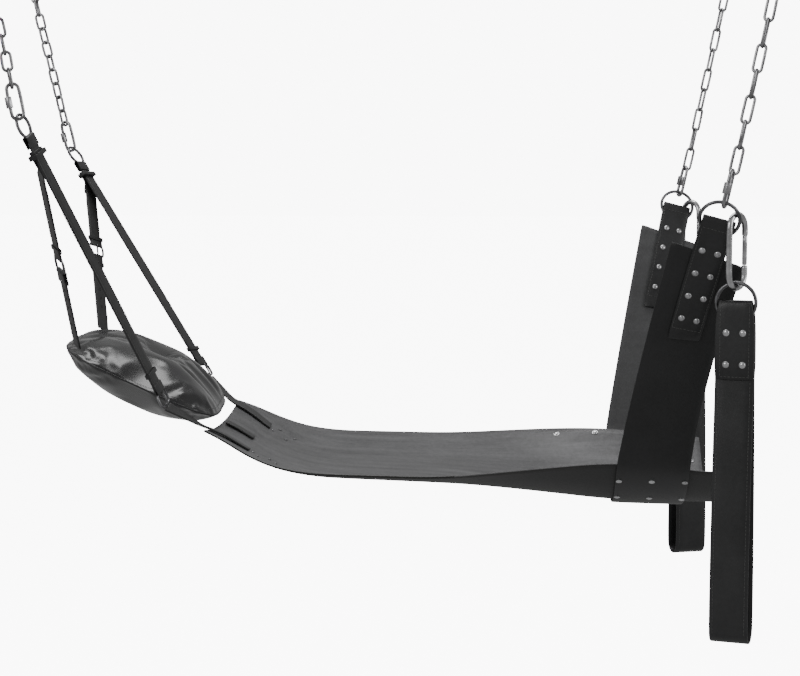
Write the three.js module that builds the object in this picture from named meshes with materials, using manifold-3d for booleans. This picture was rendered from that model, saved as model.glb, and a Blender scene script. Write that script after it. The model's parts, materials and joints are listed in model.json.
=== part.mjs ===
// A suspended leather body sling: a leather seat panel, a cradle band that carries its foot end,
// a head pillow on buckled straps and two stirrups, all hung on four steel chains.
// Millimetres, +Z up, +X towards the foot end, -Y is the right-hand side.
// The model is laid out about the seat and then moved so that the origin is the middle of the
// four hang points at the top of the chains.
import * as THREE from "three";
import Module from "manifold-3d";

const wasm = await Module();
wasm.setup();

// ---- driving dimensions ----
const HANG_CENTRE_X = -222;
const HANG_HEIGHT = 800;

const LEATHER = 3.4;
const STRAP_LEATHER = 3;
const TAB_LEATHER = 2.4;
const GAP = 0.35;

// Seat panel stations from head end to foot end: x, half width, edge height, sag of the middle.
const PANEL = [
  [-474, 172, 62, 12],
  [-430, 200, 36, 18],
  [-385, 216, 12, 22],
  [-320, 226, -1, 26],
  [-115, 230, -4, 32],
  [46, 205, 9, 66],
  [138, 181, 14, 83],
  [300, 178, -1, 70],
];
const PANEL_CURL = 2.2;

const BAND_WIDTH = 108;
const BAND_BOTTOM_X = 199;
const BAND_TOP = [261, 330, 331];
const BAND_KNEE = [222, 236, 150];
const BAND_TOP_DROP = -0.36;

const TAB_WIDTH = 46;
const TAB_STATIONS = [0.93, 0.86, 0.79];
const RING_RADIUS = 27.75;
const RING_WIRE = 2.75;
const RING_HEIGHT = 381;

const LINK_WIRE = 2.75;
const LINK_HALF_WIDTH = 9;
const LINK_HALF_LENGTH = 25.75;

const LONG_CHAIN = { wire: 2.4, halfWidth: 6.1, halfLength: 19.15 };
const SHORT_CHAIN = { wire: 2.5, halfWidth: 6.6, halfLength: 13.75 };
const CHAIN_CONTACT = 1.6;
// Slack at the top of the chains that only follow the swing of the right-hand head chain.
const OPEN_PIVOT_GAP = 3;
const FOOT_LEAN = 0.222;
const FOOT_LINKS = 9;
const RING_SEAT = 1;
const FOOT_LINK_TURN = 1.22;
const HEAD_LINK_TURN = 0.35;

// The head straps of the two sides are buckled to different lengths.
const HEAD = {
  right: { ring: [-708, 300, 510], lean: -0.198, links: 9, topGap: GAP },
  left: { ring: [-774, 300, 468], lean: -0.229, links: 11, topGap: OPEN_PIVOT_GAP },
};
const HEAD_RING_RADIUS = 17.5;
const HEAD_RING_WIRE = 2.5;
const STRAP_WIDTH = 25;
const MAIN_BUCKLE = [-532, 192, 106];
const PANEL_STRAP_END_X = -412;
const PANEL_STRAP_END_Y = 126;
const PANEL_STRAP_EDGE_Y = 152;
const STRAP_OVER_PANEL = 5.4;
const BRANCH_ALONG_MAIN = 0.13;

const PILLOW_SIZE = [264, 336, 94];
const PILLOW_CENTRE = [-592, 0, 121];
const PILLOW_PITCH = THREE.MathUtils.degToRad(25);
const PILLOW_YAW = THREE.MathUtils.degToRad(5);
const PILLOW_STRAP_WIDTH = 22;
const PILLOW_BUCKLE_RISE = 128;
const PILLOW_STRAP_TWIST = 0.6;
const MAIN_STRAP_TWIST = 0.25;
const BUCKLE_REACH = 14; // from a buckle's middle to the strap ends on either side
const PILLOW_BUCKLE_REACH = 13;
const MAIN_STRAP_THICKNESS = 4;
const PILLOW_STRAP_THICKNESS = 2.6;
const PANEL_STRAP_PAST_EDGE = 6;
const BRANCH_BEHIND_MAIN = 11;
const PILLOW_STRAP_FOOT = [-0.77, 0.86, 16]; // shares of the pillow's half-length and half-width, and a height
const PROUD_OF_PILLOW = [-5, 3, 0];

const HOOK_WIRE = 4.5;
const HOOK_HALF_WIDTH = 18;
const HOOK_HALF_LENGTH = 51;
const HOOK_TURN = THREE.MathUtils.degToRad(48);
const HOOK_SEAT_ANGLE = 0.26;
const HOOK_ABOVE_RING_SIDE = 20;
const GATE_LENGTH = 38;

const STIRRUP_WIDTH = 54;
const STIRRUP_TAB_WIDTH = 55;
const STIRRUP_TAB_LENGTH = 104;
const STIRRUP_TAB_HALF_GAP = 6.2;
const STIRRUP_TAB_FLARE = 16; // height over which the tab widens below its fold
const STIRRUP_FOLD_BELOW_CENTRE = 3;
const FOLD_BELOW_CENTRE = 4;
const TAB_ROOM = 0.6; // between a folded tab and the ring wire
const GATE_RADIUS = 3.6;
const GATE_TO_BODY = [2.5, 1.5]; // gap above and below the gate
const SLEEVE_RADIUS = 5.6;
const SLEEVE_HALF_LENGTH = 8;
const STIRRUP_BOTTOM = { right: -210, left: -231 };
const STIRRUP_OPEN = 20;
const STIRRUP_YAW = THREE.MathUtils.degToRad(-17);

const V = (x, y, z) => new THREE.Vector3(x, y, z);
const UP = V(0, 0, 1);
const SIDES = [["right", -1], ["left", 1]];

// ---- materials ----
const leather = (color, roughness) => new THREE.MeshStandardMaterial({ color, roughness, metalness: 0 });
const steel = (color, roughness) => new THREE.MeshStandardMaterial({ color, roughness, metalness: 1 });
const make = {
  panel: () => leather(0x4a4a4c, 0.45),
  band: () => leather(0x1c1c1e, 0.6),
  strap: () => leather(0x222224, 0.5),
  pillow: () => leather(0x111113, 0.25),
  steel: () => steel(0xb8b8bc, 0.25),
  dark: () => steel(0x5a5a5e, 0.35),
};

const root = new THREE.Group();
const sling = new THREE.Group();
sling.position.set(-HANG_CENTRE_X, 0, -HANG_HEIGHT);
root.add(sling);

function add(name, geometry, material) {
  const mesh = new THREE.Mesh(geometry, material);
  mesh.name = name;
  sling.add(mesh);
  return mesh;
}

// ---- geometry helpers ----
// A closed geometry from vertices and triangles, turned so that its faces point out.
function closedGeometry(points, faces) {
  let volume = 0;
  for (const [a, b, c] of faces) {
    volume += points[a].dot(points[b].clone().cross(points[c]));
  }
  const outward = volume > 0 ? faces : faces.map(([a, b, c]) => [a, c, b]);
  const geometry = new THREE.BufferGeometry();
  geometry.setAttribute("position", new THREE.Float32BufferAttribute(points.flatMap((p) => p.toArray()), 3));
  geometry.setIndex(outward.flat());
  geometry.computeVertexNormals();
  return geometry;
}

// A sheet of even thickness about a middle surface(u, v), u across and v along, both 0 to 1.
function sheet(surface, across, along, thickness) {
  const points = [];
  const step = 1e-3;
  for (const half of [thickness / 2, -thickness / 2]) {
    for (let j = 0; j <= along; j++) {
      for (let i = 0; i <= across; i++) {
        const u = i / across;
        const v = j / along;
        const du = surface(Math.min(u + step, 1), v).sub(surface(Math.max(u - step, 0), v));
        const dv = surface(u, Math.min(v + step, 1)).sub(surface(u, Math.max(v - step, 0)));
        points.push(surface(u, v).addScaledVector(du.cross(dv).normalize(), half));
      }
    }
  }
  const layer = (across + 1) * (along + 1);
  const at = (i, j, k) => k * layer + j * (across + 1) + i;
  const faces = [];
  const quad = (a, b, c, d) => faces.push([a, b, c], [a, c, d]);
  for (let j = 0; j < along; j++) {
    for (let i = 0; i < across; i++) {
      quad(at(i, j, 0), at(i + 1, j, 0), at(i + 1, j + 1, 0), at(i, j + 1, 0));
      quad(at(i, j, 1), at(i, j + 1, 1), at(i + 1, j + 1, 1), at(i + 1, j, 1));
    }
    quad(at(0, j, 0), at(0, j + 1, 0), at(0, j + 1, 1), at(0, j, 1));
    quad(at(across, j, 0), at(across, j, 1), at(across, j + 1, 1), at(across, j + 1, 0));
  }
  for (let i = 0; i < across; i++) {
    quad(at(i, 0, 0), at(i, 0, 1), at(i + 1, 0, 1), at(i + 1, 0, 0));
    quad(at(i, along, 0), at(i + 1, along, 0), at(i + 1, along, 1), at(i, along, 1));
  }
  return closedGeometry(points, faces);
}

// A strap of one width along a route of points; its width runs along the given direction.
function strap(route, widthAlong, width, along, thickness = STRAP_LEATHER) {
  const curve = new THREE.CatmullRomCurve3(route, false, "centripetal");
  const side = widthAlong.clone().normalize();
  const surface = (u, v) => curve.getPoint(v).addScaledVector(side, (u - 0.5) * width);
  return sheet(surface, 1, along, thickness);
}

// A round bar along points in one plane, closed on itself or with flat ends.
function bar(route, planeNormal, radius, sides, closed) {
  const count = route.length;
  const points = [];
  for (let j = 0; j < count; j++) {
    const before = route[closed ? (j + count - 1) % count : Math.max(j - 1, 0)];
    const after = route[closed ? (j + 1) % count : Math.min(j + 1, count - 1)];
    const out = after.clone().sub(before).cross(planeNormal).normalize();
    for (let i = 0; i < sides; i++) {
      const turn = ((i + 0.5) / sides) * 2 * Math.PI;
      points.push(
        route[j].clone()
          .addScaledVector(out, radius * Math.cos(turn))
          .addScaledVector(planeNormal, radius * Math.sin(turn))
      );
    }
  }
  const faces = [];
  const spans = closed ? count : count - 1;
  for (let j = 0; j < spans; j++) {
    const next = (j + 1) % count;
    for (let i = 0; i < sides; i++) {
      const k = (i + 1) % sides;
      faces.push([j * sides + i, next * sides + i, next * sides + k]);
      faces.push([j * sides + i, next * sides + k, j * sides + k]);
    }
  }
  for (let i = 1; i < sides - 1 && !closed; i++) {
    const last = (count - 1) * sides;
    faces.push([0, i, i + 1], [last, last + i + 1, last + i]);
  }
  return closedGeometry(points, faces);
}

// Points of an oval with straight sides about a centre, long along axis and wide along across.
function oval(centre, axis, across, halfWidth, halfLength, steps) {
  const points = [];
  const straight = halfLength - halfWidth;
  for (let i = 0; i < steps; i++) {
    const turn = ((i + 0.5) / steps) * 2 * Math.PI;
    const rise = Math.sin(turn);
    points.push(
      centre.clone()
        .addScaledVector(across, halfWidth * Math.cos(turn))
        .addScaledVector(axis, halfWidth * rise + Math.sign(rise) * straight)
    );
  }
  return points;
}

function ovalLink(centre, axis, across, size, sides, steps) {
  const normal = axis.clone().cross(across).normalize();
  return bar(oval(centre, axis, across, size.halfWidth, size.halfLength, steps), normal, size.wire, sides, true);
}

// A round ring about a centre in the plane of up and across.
function ring(centre, up, across, radius, wire, steps = 20) {
  const normal = up.clone().cross(across).normalize();
  return bar(oval(centre, up, across, radius, radius, steps), normal, wire, 6, true);
}

// Several closed geometries joined into one body.
function union(geometries) {
  let solid = null;
  for (const geometry of geometries) {
    const mesh = new wasm.Mesh({
      numProp: 3,
      vertProperties: new Float32Array(geometry.attributes.position.array),
      triVerts: new Uint32Array(geometry.index.array),
    });
    const next = new wasm.Manifold(mesh);
    solid = solid ? solid.add(next) : next;
  }
  const joined = solid.getMesh();
  const geometry = new THREE.BufferGeometry();
  geometry.setAttribute("position", new THREE.Float32BufferAttribute(joined.vertProperties, 3));
  geometry.setIndex(Array.from(joined.triVerts));
  geometry.computeVertexNormals();
  return geometry;
}

function station(x, column) {
  let i = 0;
  while (i < PANEL.length - 2 && x > PANEL[i + 1][0]) {
    i += 1;
  }
  const [a, b] = [PANEL[i], PANEL[i + 1]];
  const t = THREE.MathUtils.clamp((x - a[0]) / (b[0] - a[0]), 0, 1);
  return THREE.MathUtils.lerp(a[column], b[column], t);
}

// Evened station value: the mean over a short span takes the corners out of the outline.
function panelValue(x, column) {
  const reach = 34;
  let sum = 0;
  for (const offset of [-1, -0.5, 0, 0.5, 1]) {
    sum += station(x + offset * reach, column);
  }
  return sum / 5;
}

// Height of the panel's middle surface.
function panelHeight(x, y) {
  const share = Math.min(Math.abs(y) / panelValue(x, 1), 1);
  return panelValue(x, 2) - panelValue(x, 3) * (1 - share ** PANEL_CURL);
}

// ---- seat panel and cradle band ----
const panelHead = PANEL[0][0];
const panelFoot = PANEL[PANEL.length - 1][0];

function panelSurface(u, v) {
  const x = THREE.MathUtils.lerp(panelHead, panelFoot, v);
  const y = (2 * u - 1) * panelValue(x, 1);
  return V(x, y, panelHeight(x, y));
}
add("seat_panel", sheet(panelSurface, 10, 26, LEATHER), make.panel());

const bandUnder = LEATHER + 1.2;
const bandTopWidth = V(1, 0, BAND_TOP_DROP).normalize();
const bandLowerShare = 0.36;

// A point under the panel, a leather's thickness clear of it, at a distance y from the middle.
function underPanel(x, y, side) {
  const slope = panelHeight(x, y) - panelHeight(x, y - 1);
  const down = V(0, slope, -1).normalize().multiplyScalar(bandUnder);
  return V(x, side * (y + down.y), panelHeight(x, y) + down.z);
}

// Runs under the panel in the middle and rises outside its edges to the hanger tabs.
function bandSurface(u, v) {
  const side = Math.sign(v - 0.5) || 1;
  const along = Math.abs(2 * v - 1);
  const x = BAND_BOTTOM_X + (u - 0.5) * BAND_WIDTH;
  const edge = underPanel(x, panelValue(x, 1), side);
  if (along < bandLowerShare) {
    return underPanel(x, (along / bandLowerShare) * panelValue(x, 1), side);
  }
  const t = (along - bandLowerShare) / (1 - bandLowerShare);
  const top = V(BAND_TOP[0], side * BAND_TOP[1], BAND_TOP[2]).addScaledVector(bandTopWidth, (u - 0.5) * BAND_WIDTH);
  const knee = V(BAND_KNEE[0] + (u - 0.5) * BAND_WIDTH * 0.96, side * BAND_KNEE[1], BAND_KNEE[2]);
  const pull = knee.clone().multiplyScalar(2).addScaledVector(edge, -0.5).addScaledVector(top, -0.5);
  const bent = edge.clone().multiplyScalar((1 - t) ** 2);
  return bent.addScaledVector(pull, 2 * t * (1 - t)).addScaledVector(top, t * t);
}
add("cradle_band", sheet(bandSurface, 3, 44, LEATHER), make.band());

// ---- hardware that hangs the sling: rings, quick links, chains ----
// A quick link and the chain above it, from the ring wire that it hooks under.
function suspension(end, name, ringWireCentre, ringWire, lean, chain, links, turn, topGap) {
  const axis = V(lean, 0, 1).normalize();
  const flat = axis.clone().cross(V(0, 1, 0)).normalize();
  const depth = V(0, 1, 0);
  const across = flat.clone().multiplyScalar(Math.cos(turn)).addScaledVector(depth, Math.sin(turn));
  const size = { wire: LINK_WIRE, halfWidth: LINK_HALF_WIDTH, halfLength: LINK_HALF_LENGTH };
  const eye = ringWireCentre.clone().addScaledVector(axis, -(ringWire + LINK_WIRE + RING_SEAT));
  const centre = eye.clone().addScaledVector(axis, LINK_HALF_LENGTH);
  add(`${end}_quick_link_${name}`, ovalLink(centre, axis, across, size, 6, 16), make.steel());
  const screw = sleeve();
  const mesh = add(`${end}_link_sleeve_${name}`, screw, make.steel());
  mesh.position.copy(centre).addScaledVector(across, LINK_HALF_WIDTH);
  mesh.quaternion.setFromUnitVectors(V(0, 1, 0), axis);

  const pitch = 2 * chain.halfLength - 2 * chain.wire + CHAIN_CONTACT;
  const bottom = centre.clone().addScaledVector(axis, LINK_HALF_LENGTH - LINK_WIRE - chain.wire - GAP);
  const bodies = [];
  for (let i = 0; i < links; i++) {
    const linkTurn = turn + (i % 2 === 0 ? Math.PI / 2 : 0);
    const wide = flat.clone().multiplyScalar(Math.cos(linkTurn)).addScaledVector(depth, Math.sin(linkTurn));
    const middle = bottom.clone().addScaledVector(axis, chain.halfLength + i * pitch);
    bodies.push(ovalLink(middle, axis, wide, chain, 5, 10));
  }
  add(`${end}_chain_${name}`, union(bodies), make.steel());

  const chainTop = bottom.clone().addScaledVector(axis, 2 * chain.halfLength + (links - 1) * pitch);
  const topEye = chainTop.clone().addScaledVector(axis, -(chain.wire + LINK_WIRE + topGap));
  const lastTurn = turn + (links % 2 === 0 ? 0 : Math.PI / 2) + Math.PI / 2;
  const topWide = flat.clone().multiplyScalar(Math.cos(lastTurn)).addScaledVector(depth, Math.sin(lastTurn));
  const topCentre = topEye.clone().addScaledVector(axis, LINK_HALF_LENGTH);
  add(`top_quick_link_${end}_${name}`, ovalLink(topCentre, axis, topWide, size, 6, 16), make.steel());
}

// Hexagonal screw sleeve of a quick link, round its wire.
function sleeve() {
  const bore = (LINK_WIRE + 0.5) / Math.cos(Math.PI / 6);
  const outer = SLEEVE_RADIUS;
  const half = SLEEVE_HALF_LENGTH;
  const profile = [[bore, -half], [outer, -half], [outer, half], [bore, half], [bore, -half]];
  return new THREE.LatheGeometry(profile.map(([r, h]) => new THREE.Vector2(r, h)), 6);
}

// ---- hanger tabs and foot rings ----
// A leather strip folded over a ring: up one face, round the top and back down the other.
// The faces follow a list of stations { point, across, normal } from the fold downwards.
function foldedTab(stations, halfGap, width) {
  const { point, across, normal } = stations[0];
  const up = point.clone().sub(stations[1].point).normalize();
  const face = (way) => stations.map((s) => ({ point: s.point.clone().addScaledVector(s.normal, way * halfGap),
    across: s.across, width: s.width }));
  const bend = [];
  for (let i = 1; i < 4; i++) {
    const turn = (i / 4) * Math.PI;
    const outward = point.clone().addScaledVector(normal, halfGap * Math.cos(turn));
    bend.push({ point: outward.addScaledVector(up, halfGap * Math.sin(turn)), across, width: stations[0].width });
  }
  return polySheet([...face(1).reverse(), ...bend, ...face(-1)], width, TAB_LEATHER);
}

// A strap with straight runs between stations { point, across } of one width, or { width } where stated.
function polySheet(route, width, thickness) {
  const last = route.length - 1;
  const surface = (u, v) => {
    const place = v * last;
    const i = Math.min(Math.floor(place), last - 1);
    const across = route[i].across.clone().lerp(route[i + 1].across, place - i);
    const point = route[i].point.clone().lerp(route[i + 1].point, place - i);
    const wide = THREE.MathUtils.lerp(route[i].width ?? width, route[i + 1].width ?? width, place - i);
    return point.addScaledVector(across, (u - 0.5) * wide);
  };
  return sheet(surface, 1, last, thickness);
}

// Middle line of the band on one side, at a share 0 to 1 from under the panel to its top edge.
function bandStation(side, share) {
  const v = 0.5 + (side * share) / 2;
  const step = 2e-3 * side;
  const point = bandSurface(0.5, v);
  const across = bandSurface(0.6, v).sub(bandSurface(0.4, v)).normalize();
  const rise = point.clone().sub(bandSurface(0.5, v - step)).normalize();
  const normal = rise.clone().cross(across).normalize();
  return { point, across, normal, rise };
}

for (const [name, side] of SIDES) {
  const top = bandStation(side, 1);
  const { rise, normal } = top;
  const across = normal.clone().cross(rise).normalize();
  const centre = top.point.clone().addScaledVector(rise, (RING_HEIGHT - top.point.z) / rise.z);
  const fold = { point: centre.clone().addScaledVector(rise, -FOLD_BELOW_CENTRE), across, normal };
  const stations = [fold, top, ...TAB_STATIONS.map((share) => bandStation(side, share))];
  const halfGap = RING_WIRE + GAP + TAB_LEATHER / 2 + TAB_ROOM;
  add(`hanger_tab_${name}`, foldedTab(stations, halfGap, TAB_WIDTH), make.strap());
  add(`foot_ring_${name}`, ring(centre, rise, across, RING_RADIUS, RING_WIRE), make.steel());
  const ringTop = centre.clone().addScaledVector(rise, RING_RADIUS);
  suspension("foot", name, ringTop, RING_WIRE, FOOT_LEAN, LONG_CHAIN, FOOT_LINKS, side * FOOT_LINK_TURN,
    OPEN_PIVOT_GAP);
  const hungAt = centre.clone()
    .addScaledVector(across, RING_RADIUS * Math.cos(HOOK_SEAT_ANGLE))
    .addScaledVector(rise, -RING_RADIUS * Math.sin(HOOK_SEAT_ANGLE));
  stirrup(name, side, hungAt);
}

// ---- snap hook and stirrup ----
function stirrup(name, side, hungAt) {
  const hookAcross = V(Math.cos(HOOK_TURN), -side * Math.sin(HOOK_TURN), 0);
  const hookNormal = UP.clone().cross(hookAcross).normalize();
  const hookTop = hungAt.clone().addScaledVector(UP, HOOK_ABOVE_RING_SIDE);
  const centre = hookTop.clone().addScaledVector(UP, -HOOK_HALF_LENGTH);
  const gateFoot = -GATE_LENGTH / 2;
  const gateHead = GATE_LENGTH / 2;

  // The body runs from above the gate over the top, down the spine and round to below the gate.
  const straight = HOOK_HALF_LENGTH - HOOK_HALF_WIDTH;
  const body = [];
  const place = (x, z) => centre.clone().addScaledVector(hookAcross, x).addScaledVector(UP, z);
  body.push(place(HOOK_HALF_WIDTH, gateHead + GATE_TO_BODY[0]));
  for (let i = 0; i <= 8; i++) {
    const turn = (i / 8) * Math.PI;
    body.push(place(HOOK_HALF_WIDTH * Math.cos(turn), straight + HOOK_HALF_WIDTH * Math.sin(turn)));
  }
  for (let i = 0; i <= 8; i++) {
    const turn = Math.PI + (i / 8) * Math.PI;
    body.push(place(HOOK_HALF_WIDTH * Math.cos(turn), -straight + HOOK_HALF_WIDTH * Math.sin(turn)));
  }
  body.push(place(HOOK_HALF_WIDTH, gateFoot - GATE_TO_BODY[1]));
  add(`snap_hook_${name}`, bar(body, hookNormal, HOOK_WIRE, 6, false), make.steel());
  const gate = [place(HOOK_HALF_WIDTH, gateFoot), place(HOOK_HALF_WIDTH, gateHead + 2)];
  add(`snap_gate_${name}`, bar(gate, hookNormal, GATE_RADIUS, 6, false), make.steel());

  const hookBottom = place(0, -HOOK_HALF_LENGTH);
  const ringTop = hookBottom.clone().addScaledVector(UP, HOOK_WIRE + RING_WIRE + 1.2);
  const ringMiddle = ringTop.clone().addScaledVector(UP, -RING_RADIUS);
  const across = V(Math.cos(STIRRUP_YAW), side * Math.sin(-STIRRUP_YAW), 0);
  const normal = UP.clone().cross(across).normalize();
  add(`stirrup_ring_${name}`, ring(ringMiddle, UP, across, RING_RADIUS, RING_WIRE), make.steel());
  const foldZ = ringMiddle.z - STIRRUP_FOLD_BELOW_CENTRE;
  const tabEnd = foldZ - STIRRUP_TAB_LENGTH;
  const stations = [foldZ, foldZ - STIRRUP_TAB_FLARE, tabEnd].map((z) => ({
    point: V(ringMiddle.x, ringMiddle.y, z), across, normal, width: z === foldZ ? TAB_WIDTH : STIRRUP_TAB_WIDTH,
  }));
  add(`stirrup_tab_${name}`, foldedTab(stations, STIRRUP_TAB_HALF_GAP, TAB_WIDTH), make.strap());

  const plyOffset = STRAP_LEATHER / 2 + 0.25;
  const loopTop = ringMiddle.z - RING_RADIUS - RING_WIRE - 2;
  const at = (y, z) => ({ point: V(ringMiddle.x, ringMiddle.y, z).addScaledVector(normal, y), across });
  const low = STIRRUP_BOTTOM[name] + STIRRUP_OPEN;
  const route = [at(plyOffset, loopTop), at(plyOffset, tabEnd - 6), at(STIRRUP_OPEN * 0.55, tabEnd - 90)];
  route.push(at(STIRRUP_OPEN, low + 70));
  for (let i = 0; i <= 6; i++) {
    const turn = (i / 6) * Math.PI;
    route.push(at(STIRRUP_OPEN * Math.cos(turn), low - STIRRUP_OPEN * Math.sin(turn)));
  }
  route.push(at(-STIRRUP_OPEN, low + 70));
  route.push(at(-STIRRUP_OPEN * 0.55, tabEnd - 90), at(-plyOffset, tabEnd - 6), at(-plyOffset, loopTop));
  add(`stirrup_loop_${name}`, polySheet(route, STIRRUP_WIDTH, STRAP_LEATHER), make.strap());
}

// ---- pillow ----
const pillowTurn = new THREE.Quaternion()
  .setFromAxisAngle(UP, PILLOW_YAW)
  .multiply(new THREE.Quaternion().setFromAxisAngle(V(0, 1, 0), PILLOW_PITCH));
const pillowCentre = V(...PILLOW_CENTRE);

// A point of the pillow: x and y are its own half-lengths and half-widths, z is in millimetres.
function onPillow(x, y, z) {
  const local = V((x * PILLOW_SIZE[0]) / 2, (y * PILLOW_SIZE[1]) / 2, z);
  return local.applyQuaternion(pillowTurn).add(pillowCentre);
}

function pillowGeometry() {
  const columns = 20;
  const rows = 8;
  const square = (value) => Math.sign(value) * Math.abs(value) ** 0.45;
  const points = [onPillow(0, 0, PILLOW_SIZE[2] / 2)];
  for (let j = 1; j < rows; j++) {
    const tip = (j / rows) * Math.PI;
    const reach = Math.sin(tip) ** 0.55;
    for (let i = 0; i < columns; i++) {
      const turn = ((i + 0.5) / columns) * 2 * Math.PI;
      const z = (PILLOW_SIZE[2] / 2) * Math.cos(tip);
      points.push(onPillow(reach * square(Math.cos(turn)), reach * square(Math.sin(turn)), z));
    }
  }
  points.push(onPillow(0, 0, -PILLOW_SIZE[2] / 2));
  const last = points.length - 1;
  const at = (j, i) => 1 + (j - 1) * columns + (i % columns);
  const faces = [];
  for (let i = 0; i < columns; i++) {
    faces.push([0, at(1, i), at(1, i + 1)], [last, at(rows - 1, i + 1), at(rows - 1, i)]);
    for (let j = 1; j < rows - 1; j++) {
      faces.push([at(j, i), at(j + 1, i), at(j + 1, i + 1)], [at(j, i), at(j + 1, i + 1), at(j, i + 1)]);
    }
  }
  return closedGeometry(points, faces);
}
add("pillow", pillowGeometry(), make.pillow());

// ---- head straps ----
// Rectangular buckle frame with its prong, in the plane of along and across.
function buckle(frameName, prongName, centre, along, across, halfWidth) {
  const halfLength = 11;
  const wire = 2;
  const normal = along.clone().cross(across).normalize();
  const corners = [];
  for (const [x, z] of [[1, 0.7], [0.8, 1], [-0.8, 1], [-1, 0.7], [-1, -0.7], [-0.8, -1], [0.8, -1], [1, -0.7]]) {
    corners.push(
      centre.clone().addScaledVector(across, x * (halfWidth + 4)).addScaledVector(along, z * halfLength)
    );
  }
  add(frameName, bar(corners, normal, wire, 6, true), make.dark());
  const lift = normal.clone().multiplyScalar(wire + 2);
  const prong = [
    centre.clone().add(lift).addScaledVector(along, -halfLength),
    centre.clone().add(lift).addScaledVector(along, halfLength + 2),
  ];
  add(prongName, bar(prong, across, 1.6, 6, false), make.dark());
}

// Directions of a strap between two points; twist turns its width away from the sideways way.
const strapFrame = (from, to, twist = 0) => {
  const along = to.clone().sub(from).normalize();
  const across = V(0, 1, 0).addScaledVector(along, -along.y).normalize().applyAxisAngle(along, twist);
  return { along, across };
};

for (const [name, side] of SIDES) {
  const spec = HEAD[name];
  const centre = V(spec.ring[0], side * spec.ring[1], spec.ring[2]);
  const buckleAt = V(MAIN_BUCKLE[0], side * MAIN_BUCKLE[1], MAIN_BUCKLE[2]);
  const main = strapFrame(centre, buckleAt, MAIN_STRAP_TWIST);
  const ringUp = main.along.clone().negate();
  add(`head_ring_${name}`, ring(centre, ringUp, main.across, HEAD_RING_RADIUS, HEAD_RING_WIRE), make.steel());
  const ringTop = centre.clone().addScaledVector(ringUp, HEAD_RING_RADIUS);
  suspension("head", name, ringTop, HEAD_RING_WIRE, spec.lean, SHORT_CHAIN, spec.links, side * HEAD_LINK_TURN,
    spec.topGap);

  // The main strap starts under the ring wire and runs straight to its buckle.
  const strapStart = centre.clone().addScaledVector(main.along, HEAD_RING_RADIUS + HEAD_RING_WIRE + GAP);
  const strapEnd = buckleAt.clone().addScaledVector(main.along, -BUCKLE_REACH);
  const mainRoute = [strapStart, strapStart.clone().lerp(strapEnd, 0.5), strapEnd];
  add(`head_main_strap_${name}`, strap(mainRoute, main.across, STRAP_WIDTH, 2, MAIN_STRAP_THICKNESS), make.strap());
  buckle(`head_buckle_${name}`, `head_buckle_prong_${name}`, buckleAt, main.along, main.across, STRAP_WIDTH / 2);

  // The panel strap leaves the buckle, crosses the head edge and lies on the panel.
  const start = buckleAt.clone().addScaledVector(main.along, BUCKLE_REACH);
  const edgeX = panelHead - PANEL_STRAP_PAST_EDGE;
  const panelStrap = (u, v) => {
    const offset = (u - 0.5) * STRAP_WIDTH;
    const x = THREE.MathUtils.lerp(start.x, PANEL_STRAP_END_X, v);
    const share = THREE.MathUtils.clamp((x - edgeX) / (PANEL_STRAP_END_X - edgeX), 0, 1);
    const y = side * THREE.MathUtils.lerp(PANEL_STRAP_EDGE_Y, PANEL_STRAP_END_Y, share) + offset;
    const onPanel = V(Math.max(x, edgeX), y, panelHeight(Math.max(x, edgeX), y) + STRAP_OVER_PANEL);
    const atBuckle = start.clone().addScaledVector(main.across, offset);
    const free = THREE.MathUtils.clamp((x - start.x) / (edgeX - start.x), 0, 1);
    return atBuckle.lerp(onPanel, free);
  };
  add(`panel_strap_${name}`, sheet(panelStrap, 2, 12, STRAP_LEATHER), make.strap());

  // The pillow strap branches off the main strap and is buckled above the pillow's corner.
  const [footX, footY, footZ] = PILLOW_STRAP_FOOT;
  const corner = onPillow(footX, side * footY, footZ);
  const low = corner.clone().add(V(PROUD_OF_PILLOW[0], side * PROUD_OF_PILLOW[1], PROUD_OF_PILLOW[2]));
  const branch = strapStart.clone().lerp(strapEnd, BRANCH_ALONG_MAIN);
  branch.x -= BRANCH_BEHIND_MAIN;
  const buckleHeight = corner.z + PILLOW_BUCKLE_RISE;
  const share = (buckleHeight - low.z) / (branch.z - low.z);
  const join = low.clone().lerp(branch, share);
  const pillowFrame = strapFrame(branch, join, side * PILLOW_STRAP_TWIST);
  const upperEnd = join.clone().addScaledVector(pillowFrame.along, -PILLOW_BUCKLE_REACH);
  const upperRoute = [branch, branch.clone().lerp(upperEnd, 0.5), upperEnd];
  const upper = strap(upperRoute, pillowFrame.across, PILLOW_STRAP_WIDTH, 2, PILLOW_STRAP_THICKNESS);
  add(`pillow_upper_strap_${name}`, upper, make.strap());
  buckle(`pillow_buckle_${name}`, `pillow_buckle_prong_${name}`, join, pillowFrame.along, pillowFrame.across,
    PILLOW_STRAP_WIDTH / 2);
  const lowerStart = join.clone().addScaledVector(pillowFrame.along, PILLOW_BUCKLE_REACH);
  const lowerRoute = [lowerStart, lowerStart.clone().lerp(low, 0.5), low];
  const lower = strap(lowerRoute, pillowFrame.across, PILLOW_STRAP_WIDTH, 2, PILLOW_STRAP_THICKNESS);
  add(`pillow_lower_strap_${name}`, lower, make.strap());
}

// ---- tail strap from the pillow's foot edge to the panel ----
const tailRoute = [
  V(-466, 0, panelHeight(-466, 0) + STRAP_OVER_PANEL),
  V(-448, 0, panelHeight(-448, 0) + STRAP_OVER_PANEL),
  V(-422, 0, panelHeight(-422, 0) + STRAP_OVER_PANEL),
];
add("tail_strap", strap(tailRoute, V(0, 1, 0), STRAP_WIDTH, 4), make.strap());

export default root;
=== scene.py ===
# A suspended leather body sling: the looks of its leather, pillow, chains and hardware.
import json
import math
import random

import bmesh
import bpy
import numpy as np
from mathutils import Matrix, Vector
from mathutils.bvhtree import BVHTree


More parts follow.
